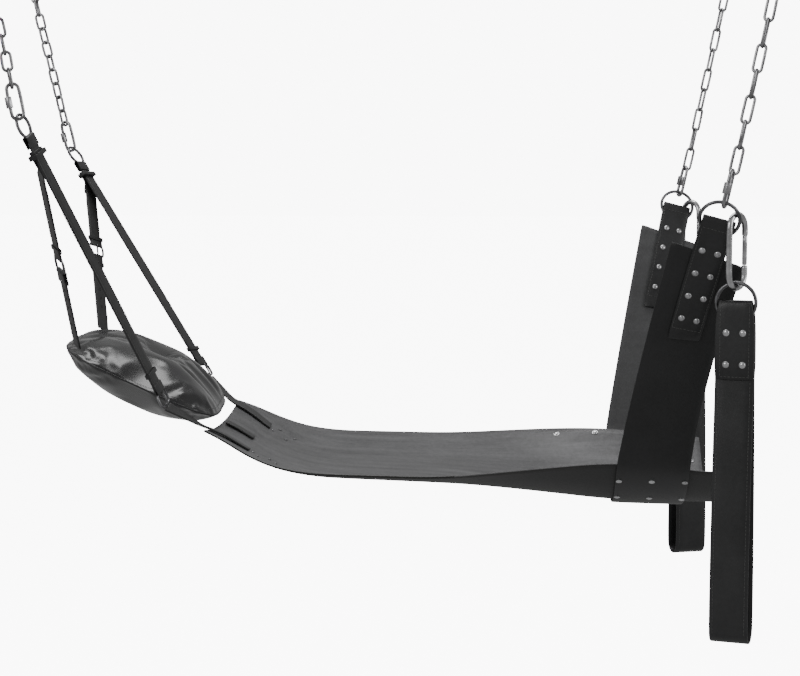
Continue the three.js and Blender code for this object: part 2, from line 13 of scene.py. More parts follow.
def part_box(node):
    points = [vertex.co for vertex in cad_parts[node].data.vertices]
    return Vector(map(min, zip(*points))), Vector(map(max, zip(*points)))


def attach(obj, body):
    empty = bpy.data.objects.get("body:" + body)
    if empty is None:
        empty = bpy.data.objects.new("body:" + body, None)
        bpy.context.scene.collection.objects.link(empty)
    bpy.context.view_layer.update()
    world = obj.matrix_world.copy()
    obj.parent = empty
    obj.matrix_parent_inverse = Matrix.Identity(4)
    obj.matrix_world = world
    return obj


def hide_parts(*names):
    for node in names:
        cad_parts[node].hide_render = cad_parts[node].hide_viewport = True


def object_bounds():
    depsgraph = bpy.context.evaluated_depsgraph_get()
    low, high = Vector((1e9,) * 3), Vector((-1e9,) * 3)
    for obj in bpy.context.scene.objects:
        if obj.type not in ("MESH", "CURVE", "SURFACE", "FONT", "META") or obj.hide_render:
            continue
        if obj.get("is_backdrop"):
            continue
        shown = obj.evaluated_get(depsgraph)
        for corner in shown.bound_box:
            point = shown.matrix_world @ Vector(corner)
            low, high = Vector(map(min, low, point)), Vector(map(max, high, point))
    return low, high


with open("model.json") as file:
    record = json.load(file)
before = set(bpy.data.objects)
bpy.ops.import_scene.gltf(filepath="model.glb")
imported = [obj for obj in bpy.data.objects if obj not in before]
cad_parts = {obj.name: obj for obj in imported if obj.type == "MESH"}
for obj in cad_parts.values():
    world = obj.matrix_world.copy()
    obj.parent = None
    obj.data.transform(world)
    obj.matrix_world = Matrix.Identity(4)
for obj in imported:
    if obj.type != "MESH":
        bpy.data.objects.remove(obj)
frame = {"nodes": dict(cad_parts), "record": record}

cad_low, cad_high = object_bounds()
NODES = frame["nodes"]
SIDES = (("right", -1), ("left", 1))
UP = Vector((0, 0, 1))
MM = 0.001
PAPER_GLOW = 9.0  # how bright the floor and the far background look
HEAD_RING_GAP = 2.85 * MM  # from a strap's end to the middle of the wire it is folded round
HEAD_RING_WIRE = 2.5 * MM
BUCKLE_GAP = 3.0 * MM
PILLOW_BUCKLE_GAP = 2.0 * MM
BUCKLE_WIRE = 2.0 * MM
FOLD_LEATHER = 1.5 * MM
STITCH_INSET = 2.2 * MM  # from a narrow strap's edge to its stitches
KEEPER_HALF = 3.5 * MM  # half the length of a keeper along its strap
PILLOW_SPARE_LEATHER = 0.05  # how much larger the cover is than the room inside its seam
PILLOW_PRESSURE = 7
PILLOW_STEPS = 30
ROOM_LIGHT = 0.42  # how bright the room is to the leather and the metal


# ---------------------------------------------------------------- shader maths
class Val:
    """A shader socket with arithmetic."""

    def __init__(self, maker, socket):
        self.maker = maker
        self.socket = socket

    def _math(self, operation, a, b):
        return self.maker.node("ShaderNodeMath", {"operation": operation}, {0: a, 1: b})

    def __add__(self, other):
        return self._math("ADD", self, other)

    def __radd__(self, other):
        return self._math("ADD", other, self)

    def __sub__(self, other):
        return self._math("SUBTRACT", self, other)

    def __rsub__(self, other):
        return self._math("SUBTRACT", other, self)

    def __mul__(self, other):
        return self._math("MULTIPLY", self, other)

    def __rmul__(self, other):
        return self._math("MULTIPLY", other, self)

    def __pow__(self, other):
        return self._math("POWER", self, other)


class Finish:
    """One material on a Principled surface."""

    def __init__(self, name, **uniform):
        self.material = bpy.data.materials.new(name)
        self.material.use_nodes = True
        self.tree = self.material.node_tree
        self.surface = self.tree.nodes["Principled BSDF"]
        for socket, value in uniform.items():
            self.surface.inputs[socket.replace("_", " ")].default_value = value

    def node(self, kind, settings=None, inputs=None, output=0):
        made = self.tree.nodes.new(kind)
        for key, value in (settings or {}).items():
            if key == "stops":
                self._ramp(made.color_ramp, value)
            else:
                setattr(made, key, value)
        for key, value in (inputs or {}).items():
            if isinstance(value, Val):
                self.tree.links.new(value.socket, made.inputs[key])
            else:
                made.inputs[key].default_value = value
        return Val(self, made.outputs[output])

    @staticmethod
    def _ramp(ramp, stops):
        for index, (place, value) in enumerate(stops):
            stop = ramp.elements[index] if index < 2 else ramp.elements.new(place)
            stop.position = place
            stop.color = (*value, 1) if isinstance(value, tuple) else (value, value, value, 1)

    def place(self, scale=(1, 1, 1)):
        coordinates = self.node("ShaderNodeTexCoord", output=3)
        return self.node("ShaderNodeMapping", None, {0: coordinates, 3: scale})

    def noise(self, scale, detail=4, rough=0.55, stretch=(1, 1, 1)):
        return self.node("ShaderNodeTexNoise", None,
                         {0: self.place(stretch), "Scale": scale, "Detail": detail, "Roughness": rough})

    def cells(self, scale, feature="F1", stretch=(1, 1, 1)):
        return self.node("ShaderNodeTexVoronoi", {"feature": feature},
                         {0: self.place(stretch), "Scale": scale})

    def ramp(self, value, *stops):
        return self.node("ShaderNodeValToRGB", {"stops": stops}, {0: value})

    def mix(self, share, low, high):
        mixed = self.tree.nodes.new("ShaderNodeMix")
        mixed.data_type = "RGBA"
        for socket, value in ((mixed.inputs[0], share), (mixed.inputs[6], low), (mixed.inputs[7], high)):
            if isinstance(value, Val):
                self.tree.links.new(value.socket, socket)
            else:
                socket.default_value = (*value, 1) if isinstance(value, tuple) else value
        return Val(self, mixed.outputs[2])

    def feed(self, **sockets):
        for socket, value in sockets.items():
            self.tree.links.new(value.socket, self.surface.inputs[socket.replace("_", " ")])

    def bump(self, height, strength, distance):
        self.feed(Normal=self.node("ShaderNodeBump", None,
                                   {"Height": height, "Strength": strength, "Distance": distance}))


def leather(name, dark, light, rough, grain=900, strength=0.35, streak=0.0, coat=0.0):
    """Black leather: pebbled grain, uneven dye and, where asked, rubbed streaks along the sling."""
    finish = Finish(name, Specular_IOR_Level=0.45, Coat_Weight=coat, Coat_Roughness=0.18)
    clouds = finish.noise(9, 5, 0.6)
    fine = finish.noise(160, 3, 0.6)
    streaks = finish.noise(16, 6, 0.65, (0.35, 3.0, 3.0))
    tone = clouds * (0.6 - 0.4 * streak) + fine * 0.25 + streaks * streak * 0.6
    spread = finish.ramp(tone, (0.3, 0.0), (0.68, 1.0))
    pebbles = finish.cells(grain, "SMOOTH_F1")
    creases = finish.noise(grain * 0.45, 3, 0.6)
    finish.feed(Base_Color=finish.mix(spread, dark, light))
    finish.feed(Roughness=rough + (clouds - 0.5) * 0.22 + (pebbles - 0.4) * 0.12)
    finish.bump(pebbles * 0.7 + creases * 0.5, strength, 0.0005)
    return finish.material


def raw_edge(name):
    finish = Finish(name, Specular_IOR_Level=0.3)
    fibres = finish.noise(700, 4, 0.7)
    finish.feed(Base_Color=finish.mix(fibres, (0.006, 0.006, 0.006), (0.03, 0.029, 0.028)))
    finish.feed(Roughness=0.62 + fibres * 0.25)
    finish.bump(fibres, 0.5, 0.0004)
    return finish.material


def plated(name, low, high, rough, scuff=0.12):
    """Plated steel: a bright metal with drawn lines and duller patches."""
    finish = Finish(name, Metallic=1.0)
    patches = finish.noise(60, 4, 0.6)
    lines = finish.noise(420, 3, 0.6, (1, 1, 0.3))
    finish.feed(Base_Color=finish.mix(finish.ramp(patches, (0.35, 0.0), (0.7, 1.0)), low, high))
    finish.feed(Roughness=rough + (patches - 0.5) * scuff * 2 + lines * 0.08)
    finish.bump(lines, 0.12, 0.0002)
    return finish.material


def thread(name):
    finish = Finish(name)
    twist = finish.node("ShaderNodeTexWave", {"bands_direction": "DIAGONAL"},
                        {0: finish.place(), "Scale": 900.0, "Distortion": 0.5})
    finish.feed(Base_Color=finish.mix(twist, (0.05, 0.05, 0.05), (0.16, 0.16, 0.155)))
    finish.feed(Roughness=0.5 + twist * 0.2)
    finish.bump(twist, 0.4, 0.0002)
    return finish.material


def lit_paper(name, strength):
    """A pale floor bright enough to look white."""
    finish = Finish(name, Base_Color=(0.9, 0.9, 0.9, 1), Specular_IOR_Level=0.0, Roughness=1.0,
                    Emission_Color=(1, 1, 1, 1), Emission_Strength=strength)
    return finish.material


# The seat top's light grey colour is a painted sheen: it stands in for the room's reflection on the top of
# the black leather, which the darker underside colour shows.
SEAT_TOP_PAINTED_SHEEN = leather("seat_leather_top_painted_sheen", (0.035, 0.035, 0.036), (0.13, 0.13, 0.134), 0.5, 700, 0.3, 0.9)
SEAT_UNDER = leather("seat_leather_under", (0.012, 0.012, 0.012), (0.03, 0.03, 0.03), 0.62, 620, 0.4)
BAND = leather("band_leather_outside", (0.007, 0.007, 0.0075), (0.02, 0.02, 0.021), 0.5, 760, 0.35)
BAND_IN = leather("band_leather_inside", (0.035, 0.035, 0.036), (0.075, 0.075, 0.077), 0.6, 700, 0.35, 0.4)
STRAP = leather("strap_leather", (0.008, 0.008, 0.0085), (0.028, 0.028, 0.029), 0.4, 900, 0.3)
STRAP_WORN = leather("head_strap_leather", (0.01, 0.01, 0.01), (0.035, 0.035, 0.036), 0.45, 900, 0.35, 0.3)
PILLOW = leather("pillow_leather", (0.004, 0.004, 0.0044), (0.011, 0.011, 0.012), 0.25, 520, 0.09, coat=0.4)
EDGE = raw_edge("cut_leather_edge")
CHAIN = plated("chain_zinc", (0.2, 0.2, 0.205), (0.42, 0.42, 0.43), 0.22)
BRIGHT = plated("bright_nickel", (0.36, 0.36, 0.365), (0.62, 0.62, 0.63), 0.16)
DARK = plated("dark_nickel", (0.1, 0.1, 0.104), (0.24, 0.24, 0.247), 0.28)
THREAD = thread("waxed_thread")
FLOOR = lit_paper("pale_floor", PAPER_GLOW)


# ---------------------------------------------------------------- mesh helpers
def only(obj):
    """Selects one object and makes it the active one."""
    bpy.ops.object.select_all(action="DESELECT")
    obj.select_set(True)
    bpy.context.view_layer.objects.active = obj


def edit(obj, pick=None):
    """Opens edit mode with the vertices that pick chooses."""
    only(obj)
    bpy.ops.object.mode_set(mode="EDIT")
    bpy.ops.mesh.select_mode(type="VERT")
    bpy.ops.mesh.select_all(action="DESELECT" if pick else "SELECT")
    if pick:
        mesh = bmesh.from_edit_mesh(obj.data)
        for vertex in mesh.verts:
            vertex.select = pick(vertex.co)
        mesh.select_flush(True)
        bmesh.update_edit_mesh(obj.data)


def done():
    bpy.ops.object.mode_set(mode="OBJECT")


def modify(obj, kind, **settings):
    """Adds one modifier and applies it."""
    only(obj)
    modifier = obj.modifiers.new(kind.lower(), kind)
    for key, value in settings.items():
        setattr(modifier, key, value)
    bpy.ops.object.modifier_apply(modifier=modifier.name)


def smooth(obj, degrees=38):
    only(obj)
    bpy.ops.object.shade_smooth_by_angle(angle=math.radians(degrees))


def coat(obj, *materials):
    obj.data.materials.clear()
    for material in materials:
        obj.data.materials.append(material)


def finished(obj, body, slot, *replaced):
    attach(obj, body)
    if replaced:
        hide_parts(*replaced)
    return obj


def body_of(node):
    return next(body for body, nodes in frame["record"]["behaviour"]["bodies"].items() if node in nodes)


def copy_of(node, name):
    """A merged copy of a CAD node, with its triangles paired into quads."""
    obj = bpy.data.objects.new(name, NODES[node].data.copy())
    bpy.context.scene.collection.objects.link(obj)
    edit(obj)
    bpy.ops.mesh.remove_doubles(threshold=2e-6)
    bpy.ops.mesh.tris_convert_to_quads(face_threshold=math.radians(50), shape_threshold=math.radians(60))
    done()
    return obj


def crease(obj, degrees, amount):
    """Creases the edges whose faces meet at more than this angle."""
    mesh = bmesh.new()
    mesh.from_mesh(obj.data)
    layer = mesh.edges.layers.float.get("crease_edge") or mesh.edges.layers.float.new("crease_edge")
    for e in mesh.edges:
        if len(e.link_faces) == 2 and e.calc_face_angle() > math.radians(degrees):
            e[layer] = amount
    mesh.to_mesh(obj.data)
    mesh.free()


def smooth_sheet(node, name, levels=2):
    """A leather sheet with a fine surface and slightly rounded cut edges."""
    obj = copy_of(node, name)
    crease(obj, 50, 0.86)
    modify(obj, "SUBSURF", levels=levels, render_levels=levels)
    smooth(obj, 42)
    return obj


def smooth_bar(node, name, fatten, levels=2):
    """A bar of round section: the facets are rounded and the section is brought back to size."""
    obj = copy_of(node, name)
    modify(obj, "SUBSURF", levels=levels, render_levels=levels)
    modify(obj, "DISPLACE", strength=fatten, mid_level=0.0)
    smooth(obj, 60)
    return obj


def surface_of(obj):
    mesh = obj.data
    mesh.calc_loop_triangles()
    return BVHTree.FromPolygons([v.co.copy() for v in mesh.vertices],
                                [tuple(t.vertices) for t in mesh.loop_triangles])


def onto(tree, start, direction):
    """The point and outward normal where a ray meets a surface, or None."""
    point, normal, _, _ = tree.ray_cast(start, direction)
    if point is None:
        return None
    return point, (normal if normal.dot(direction) < 0 else -normal)


def basis(x, y, z, origin):
    matrix = Matrix.Identity(4)
    for column, axis in enumerate((x, y, z)):
        for row in range(3):
            matrix[row][column] = axis[row]
    matrix.translation = origin
    return matrix


def facing(normal, origin, along=UP):
    """A placing matrix whose z is the normal and whose x runs as nearly along the given way."""
    z = normal.normalized()
    x = (along - z * along.dot(z)).normalized()
    return basis(x, z.cross(x), z, origin)


def joined(pieces, name):
    bpy.ops.object.select_all(action="DESELECT")
    for piece in pieces:
        piece.select_set(True)
    bpy.context.view_layer.objects.active = pieces[0]
    if len(pieces) > 1:
        bpy.ops.object.join()
    pieces[0].name = name
    return pieces[0]


def copied(template, matrices, name):
    """Copies of a template at the given places, as one piece."""
    pieces = []
    for matrix in matrices:
        piece = bpy.data.objects.new(name, template.data.copy())
        bpy.context.scene.collection.objects.link(piece)
        piece.data.transform(matrix)
        pieces.append(piece)
    return joined(pieces, name)


# ---------------------------------------------------------------- small repeated shapes
def rivet_shape():
    """A domed rivet cap with a flat flange, its foot at the origin."""
    radius = 4.6 * MM
    bpy.ops.mesh.primitive_cylinder_add(vertices=24, radius=radius, depth=1.0 * MM, location=(0, 0, 0.4 * MM))
    obj = bpy.context.object
    bpy.ops.object.transform_apply(location=True, rotation=True, scale=True)
    edit(obj)
    bpy.ops.mesh.select_mode(type="FACE")
    bpy.ops.mesh.select_all(action="DESELECT")
    mesh = bmesh.from_edit_mesh(obj.data)
    for face in mesh.faces:
        face.select = face.normal.z > 0.9
    bmesh.update_edit_mesh(obj.data)
    for inset, lift in ((0.7, 0.1), (0.5, 0.55), (0.9, 0.5), (1.1, 0.28)):
        bpy.ops.mesh.inset(thickness=inset * MM)
        bpy.ops.transform.translate(value=(0, 0, lift * MM))
    done()
    smooth(obj, 35)
    coat(obj, BRIGHT)
    return obj


def stitch_shape():
    """One stitch: a short plump bar lying along x."""
    bpy.ops.mesh.primitive_cylinder_add(vertices=6, radius=0.45 * MM, depth=3.6 * MM,
                                        rotation=(0, math.pi / 2, 0))
    obj = bpy.context.object
    bpy.ops.object.transform_apply(location=True, rotation=True, scale=True)
    edit(obj, lambda co: abs(co.x) > 1.5 * MM)
    bpy.ops.transform.resize(value=(1, 0.55, 0.55))
    done()
    smooth(obj, 50)
    coat(obj, THREAD)
    return obj


def eyelet_shape():
    """A punched hole's dark burnished rim, lying flat at the origin."""
    bpy.ops.mesh.primitive_torus_add(major_radius=1.9 * MM, minor_radius=0.55 * MM,
                                     major_segments=20, minor_segments=8)
    obj = bpy.context.object
    edit(obj)
    bpy.ops.transform.resize(value=(1, 1, 0.6))
    done()
    smooth(obj, 60)
    coat(obj, EDGE)
    return obj


RIVET = rivet_shape()
DARK_RIVET = RIVET.copy()
DARK_RIVET.data = RIVET.data.copy()
bpy.context.scene.collection.objects.link(DARK_RIVET)
DARK_RIVET.data.transform(Matrix.Diagonal((0.62, 0.62, 0.7, 1)))
coat(DARK_RIVET, DARK)
STITCH = stitch_shape()
EYELET = eyelet_shape()


def stitches(spots, name, body, slot, pitch=5.2 * MM):
    """Stitches spaced evenly along lines of (point, normal) spots."""
    places = []
    for line in spots:
        travelled = 0.0
        due = pitch / 2
        for (a, normal_a), (b, _) in zip(line, line[1:]):
            step = (b - a).length
            while due <= travelled + step and step > 0:
                share = (due - travelled) / step
                places.append(facing(normal_a, a.lerp(b, share) + normal_a * 0.15 * MM, b - a))
                due += pitch
            travelled += step
    if places:
        finished(copied(STITCH, places, name), body, slot)


def rivets(spots, name, body, slot="chain_steel"):
    places = [facing(normal, point) for point, normal in spots]
    if places:
        finished(copied(RIVET, places, name), body, slot)


# ---------------------------------------------------------------- seat panel and cradle band
def split_faces(obj, test):
    """Gives the second material to the faces that test chooses and the third to the thin edges."""
    for face in obj.data.polygons:
        face.material_index = test(face)


panel = smooth_sheet("seat_panel", "seat_panel_leather")
coat(panel, SEAT_TOP_PAINTED_SHEEN, SEAT_UNDER, EDGE)
# Upward faces take the top leather whose lighter colour is painted sheen, downward faces the darker underside
# leather, and the rest the cut edge.
split_faces(panel, lambda f: 0 if f.normal.z > 0.35 else (1 if f.normal.z < -0.35 else 2))
finished(panel, "sling", "seat_leather", "seat_panel")
low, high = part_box("seat_panel")

band = smooth_sheet("cradle_band", "cradle_band_leather")
coat(band, BAND, BAND_IN, EDGE)


def band_face(face):
    y = face.center.y
    if abs(face.normal.x) > 0.8:
        return 2
    inward = face.normal.z > 0.3 if abs(y) < 0.14 else face.normal.y * y < 0
    return 1 if inward else 0


split_faces(band, band_face)
finished(band, "sling", "band_leather", "cradle_band")

PANEL_TREE = surface_of(panel)
BAND_TREE = surface_of(band)


# ---------------------------------------------------------------- straps, tabs and loops
def plain_strap(node, name, material, levels=2):
    strap = smooth_sheet(node, name, levels)
    coat(strap, material)
    return finished(strap, body_of(node), "strap_leather", node)


def edge_lines(tree, centre, across, along, normal, half_width, half_length, steps, both_ends=False):
    """Lines of spots near the two long edges of a strap, and across its ends where asked."""
    lines = []
    reach = 40 * MM
    for side in (-1, 1):
        line = []
        for i in range(steps + 1):
            at = centre + across * side * half_width + along * half_length * (2 * i / steps - 1)
            hit = onto(tree, at + normal * reach, -normal)
            if hit:
                line.append(hit)
        lines.append(line)
    for end in (-1, 1) if both_ends else ():
        line = []
        for i in range(9):
            at = centre + along * end * half_length + across * half_width * (i / 4 - 1)
            hit = onto(tree, at + normal * reach, -normal)
            if hit:
                line.append(hit)
        lines.append(line)
    return lines


def principal_axes(obj):
    """Centre and unit axes of an object's vertices, longest first."""
    points = np.array([v.co for v in obj.data.vertices])
    centre = (points.min(0) + points.max(0)) / 2
    _, vectors = np.linalg.eigh(np.cov((points - points.mean(0)).T))
    return Vector(centre), [Vector(vectors[:, i]) for i in (2, 1, 0)]


def pointing(vector, way):
    return vector if vector.dot(way) > 0 else -vector


for name, side in SIDES:
    outward = Vector((0, side, 0))
    tab = plain_strap(f"hanger_tab_{name}", f"hanger_tab_leather_{name}", STRAP)
    tree = surface_of(tab)
    centre, (along, across, normal) = principal_axes(tab)
    along, across = pointing(along, UP), pointing(across, Vector((1, 0, 0)))
    normal = pointing(normal, outward)
    lines = []
    spots = []
    for face in (normal, -normal):
        lines += edge_lines(tree, centre, across, along, face, 20 * MM, 84 * MM, 24, True)
        for row in range(4):
            for column in (-1, 1):
                at = centre + along * (-66 + 38 * row) * MM + across * column * 11 * MM
                hit = onto(tree, at + face * 0.04, -face)
                if hit:
                    spots.append(hit)
    stitches(lines, f"hanger_tab_stitches_{name}", "sling", "strap_leather")
    rivets(spots, f"hanger_tab_rivets_{name}", "sling")

    body = f"stirrup_{name}"
    tab = plain_strap(f"stirrup_tab_{name}", f"stirrup_tab_leather_{name}", STRAP)
    loop = plain_strap(f"stirrup_loop_{name}", f"stirrup_loop_leather_{name}", STRAP)
    tab_tree, loop_tree = surface_of(tab), surface_of(loop)
    centre, (along, across, normal) = principal_axes(tab)
    along, across, normal = UP, pointing(across, Vector((1, 0, 0))), pointing(normal, outward)
    across = (across - UP * across.z).normalized()
    normal = (normal - UP * normal.z).normalized()
    low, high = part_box(f"stirrup_loop_{name}")
    loop_centre = (low + high) / 2
    hang_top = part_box(f"stirrup_tab_{name}")[0].z
    half = (hang_top - low.z - 0.02) / 2
    loop_middle = Vector((loop_centre.x, loop_centre.y, hang_top - half - 0.004))
    lines = []
    spots = []
    for face in (normal, -normal):
        lines += edge_lines(tab_tree, centre, across, along, face, 20 * MM, 51 * MM, 14, True)
        lines += edge_lines(loop_tree, loop_middle, across, along, face, 22 * MM, half, 60)
        for row in (-34, 10):
            for column in (-1, 1):
                at = centre + along * row * MM + across * column * 11.5 * MM
                hit = onto(tab_tree, at + face * 0.04, -face)
                if hit:
                    spots.append(hit)
    stitches(lines, f"stirrup_stitches_{name}", body, "strap_leather")
    rivets(spots, f"stirrup_tab_rivets_{name}", body)

    for node in ("head_main_strap", "panel_strap", "pillow_upper_strap", "pillow_lower_strap"):
        plain_strap(f"{node}_{name}", f"{node}_leather_{name}", STRAP_WORN)

plain_strap("tail_strap", "tail_strap_leather", STRAP_WORN)


def strap_line(obj, samples=9):
    """The middle of a straight strap with its axes: along, across and out of its face, and its half length,
    half width and half thickness.
    """
    centre, (along, across, normal) = principal_axes(obj)
    reach = [(v.co - centre).dot(along) for v in obj.data.vertices]
    width = max(abs((v.co - centre).dot(across)) for v in obj.data.vertices)
    thick = max(abs((v.co - centre).dot(normal)) for v in obj.data.vertices)
    return centre, pointing(along, UP), across, normal, max(reach), width, thick


def keeper(obj, name, share, grow):
    """A leather loop round a strap at a share of its length, with rounded corners."""
    centre, along, across, normal, half, width, thick = strap_line(obj)
    at = centre + along * half * share
    points = []
    for across_way, normal_way in ((1, 1), (-1, 1), (-1, -1), (1, -1)):
        corner = at + across * across_way * (width + grow) + normal * normal_way * (thick + grow)
        points.append(corner)
    mesh = bpy.data.meshes.new(name)
    rows = [[p + along * way * KEEPER_HALF for p in points] for way in (-1, 1)]
    faces = [(i, (i + 1) % 4, 4 + (i + 1) % 4, 4 + i) for i in range(4)]
    mesh.from_pydata([*rows[0], *rows[1]], [], faces)
    loop = bpy.data.objects.new(name, mesh)
    bpy.context.scene.collection.objects.link(loop)
    modify(loop, "SOLIDIFY", thickness=1.2 * MM, offset=1)
    modify(loop, "BEVEL", width=0.7 * MM, segments=3, limit_method="ANGLE", angle_limit=math.radians(30))
    smooth(loop, 40)
    coat(loop, STRAP)
    finished(loop, "sling", "strap_leather")


def fold(obj, name, way, gap, wire):
    """The turned-over end of a strap: a leather wrap from both faces round a wire just past the end."""
    centre, along, across, normal, half, width, thick = strap_line(obj)
    along = along * way
    end = centre + along * half
    round_wire = wire + 0.5 * MM
    lift = thick + 0.15 * MM
    profile = [(-12 * MM, lift), (-4 * MM, lift), (0.0, max(lift, round_wire * 0.7))]
    for i in range(9):
        turn = math.pi / 2 - math.pi * i / 8
        profile.append((gap + round_wire * math.cos(turn), round_wire * math.sin(turn)))
    profile += [(x, -y) for x, y in profile[2::-1]]
    points, faces = [], []
    for x, y in profile:
        for side in (-1, 1):
            points.append(end + along * x + normal * y + across * side * (width - 0.4 * MM))
    for i in range(len(profile) - 1):
        faces.append((2 * i, 2 * i + 1, 2 * i + 3, 2 * i + 2))
    mesh = bpy.data.meshes.new(name)
    mesh.from_pydata(points, [], faces)
    wrap = bpy.data.objects.new(name, mesh)
    bpy.context.scene.collection.objects.link(wrap)
    outside = 1 if way * along.cross(normal).dot(across) > 0 else -1
    modify(wrap, "SOLIDIFY", thickness=FOLD_LEATHER, offset=outside)
    modify(wrap, "BEVEL", width=0.4 * MM, segments=2, limit_method="ANGLE", angle_limit=math.radians(50))
    smooth(wrap, 45)
    coat(wrap, STRAP_WORN)
    finished(wrap, "sling", "strap_leather")


def strap_root(main, upper, name):
    """The top of a pillow strap, bent over to lie on the back of the main strap, and a loop over both."""
    centre, along, across, normal, half, width, thick = strap_line(upper)
    top = centre + along * half
    main_centre, main_along, main_across, main_normal, main_half, _, main_thick = strap_line(main)
    back = pointing(main_normal, top - main_centre)
    height = (top - main_centre).dot(main_along)
    across = pointing(across, main_across)
    rows = [(top - along * 10 * MM, across), (top + along * 1 * MM, across)]
    for reach in (12, 22, 34):
        at = main_centre + main_along * (height + reach * MM) + back * (main_thick + 1.9 * MM)
        rows.append((at, main_across))
    points = [at + way * side * (width - 0.3 * MM) for at, way in rows for side in (-1, 1)]
    faces = [(2 * i, 2 * i + 1, 2 * i + 3, 2 * i + 2) for i in range(len(rows) - 1)]
    mesh = bpy.data.meshes.new(name)
    mesh.from_pydata(points, [], faces)
    root = bpy.data.objects.new(name, mesh)
    bpy.context.scene.collection.objects.link(root)
    modify(root, "SOLIDIFY", thickness=2.6 * MM, offset=0)
    modify(root, "BEVEL", width=0.5 * MM, segments=2, limit_method="ANGLE", angle_limit=math.radians(50))
    modify(root, "SUBSURF", levels=1, render_levels=1)
    smooth(root, 45)
    coat(root, STRAP_WORN)
    finished(root, "sling", "strap_leather")
    keeper(main, f"{name}_loop", (height + 26 * MM) / main_half, 3.6 * MM)


def strap_detail(node, holes, stitched, keepers):
    """Punched holes along a strap, lines of stitches near both edges and its keepers, on both faces."""
    obj = NODES[node]
    centre, along, across, normal, half, width, thick = strap_line(obj)
    tree = surface_of(obj)
    rims, lines = [], []
    for face in (normal, -normal):
        for share in holes:
            hit = onto(tree, centre + along * half * share + face * 0.03, -face)
            if hit:
                rims.append(facing(hit[1], hit[0]))
        for first, last in stitched:
            for way in (-1, 1):
                line = []
                for i in range(12):
                    share = first + (last - first) * i / 11
                    at = centre + along * half * share + across * way * (width - STITCH_INSET)
                    hit = onto(tree, at + face * 0.03, -face)
                    if hit:
                        line.append(hit)
                lines.append(line)
    if rims:
        finished(copied(EYELET, rims, f"{node}_holes"), "sling", "strap_leather")
    stitches(lines, f"{node}_stitches", "sling", "strap_leather", 4.4 * MM)
    for i, share in enumerate(keepers):
        keeper(obj, f"{node}_keeper_{i}", share, 0.5 * MM)


for name, side in SIDES:
    main, upper, lower = (NODES[f"{node}_{name}"] for node in
                          ("head_main_strap", "pillow_upper_strap", "pillow_lower_strap"))
    strap_root(main, upper, f"pillow_strap_root_{name}")
    fold(main, f"head_ring_fold_{name}", 1, HEAD_RING_GAP, HEAD_RING_WIRE)
    fold(main, f"head_buckle_fold_{name}", -1, BUCKLE_GAP, BUCKLE_WIRE)
    fold(upper, f"pillow_buckle_fold_{name}", -1, PILLOW_BUCKLE_GAP, BUCKLE_WIRE)
    fold(lower, f"pillow_strap_fold_{name}", 1, PILLOW_BUCKLE_GAP, BUCKLE_WIRE)
    strap_detail(f"head_main_strap_{name}", (), ((-0.97, 0.98),), (0.9, -0.86))
    strap_detail(f"pillow_upper_strap_{name}", (), ((-0.9, 0.95),), (-0.8,))
    strap_detail(f"pillow_lower_strap_{name}", (0.55, 0.32, 0.09, -0.14, -0.37), ((-0.95, -0.6),), (0.8,))

# ---------------------------------------------------------------- rings, links, hooks and buckles
for name, side in SIDES:
    for node in (f"foot_ring_{name}", f"stirrup_ring_{name}", f"head_ring_{name}"):
        obj = smooth_bar(node, f"{node}_wire", 0.42 * MM)
        coat(obj, DARK)
        finished(obj, body_of(node), "chain_steel", node)
    for end in ("foot", "head"):
        for node in (f"{end}_quick_link_{name}", f"top_quick_link_{end}_{name}"):
            obj = smooth_bar(node, f"{node}_wire", 0.42 * MM)
            coat(obj, CHAIN)
            finished(obj, body_of(node), "chain_steel", node)
        node = f"{end}_link_sleeve_{name}"
        obj = copy_of(node, f"{node}_nut")
        modify(obj, "BEVEL", width=0.5 * MM, segments=2, limit_method="ANGLE", angle_limit=math.radians(40))
        smooth(obj, 30)
        coat(obj, CHAIN)
        finished(obj, body_of(node), "chain_steel", node)
    for node, finish in ((f"snap_hook_{name}", BRIGHT), (f"snap_gate_{name}", BRIGHT)):
        obj = copy_of(node, f"{node}_body")
        crease(obj, 70, 0.8)
        modify(obj, "SUBSURF", levels=2, render_levels=2)
        modify(obj, "DISPLACE", strength=0.6 * MM, mid_level=0.0)
        smooth(obj, 50)
        coat(obj, finish)
        finished(obj, body_of(node), "hook_steel", node)
    for node in ("head_buckle", "pillow_buckle", "head_buckle_prong", "pillow_buckle_prong"):
        obj = smooth_bar(f"{node}_{name}", f"{node}_wire_{name}", 0.28 * MM)
        coat(obj, DARK)
        finished(obj, "sling", "buckle_steel", f"{node}_{name}")


# ---------------------------------------------------------------- chains
def link_shape(wire, half_width, half_length):
    """One oval chain link along y."""
    bpy.ops.mesh.primitive_torus_add(major_radius=half_width, minor_radius=wire,
                                     major_segments=28, minor_segments=12)
    obj = bpy.context.object
    for way in (-1, 1):
        edit(obj, lambda co, way=way: co.y * way > 1e-6)
        bpy.ops.transform.translate(value=(0, way * (half_length - half_width), 0))
        done()
    smooth(obj, 60)
    coat(obj, CHAIN)
    return obj


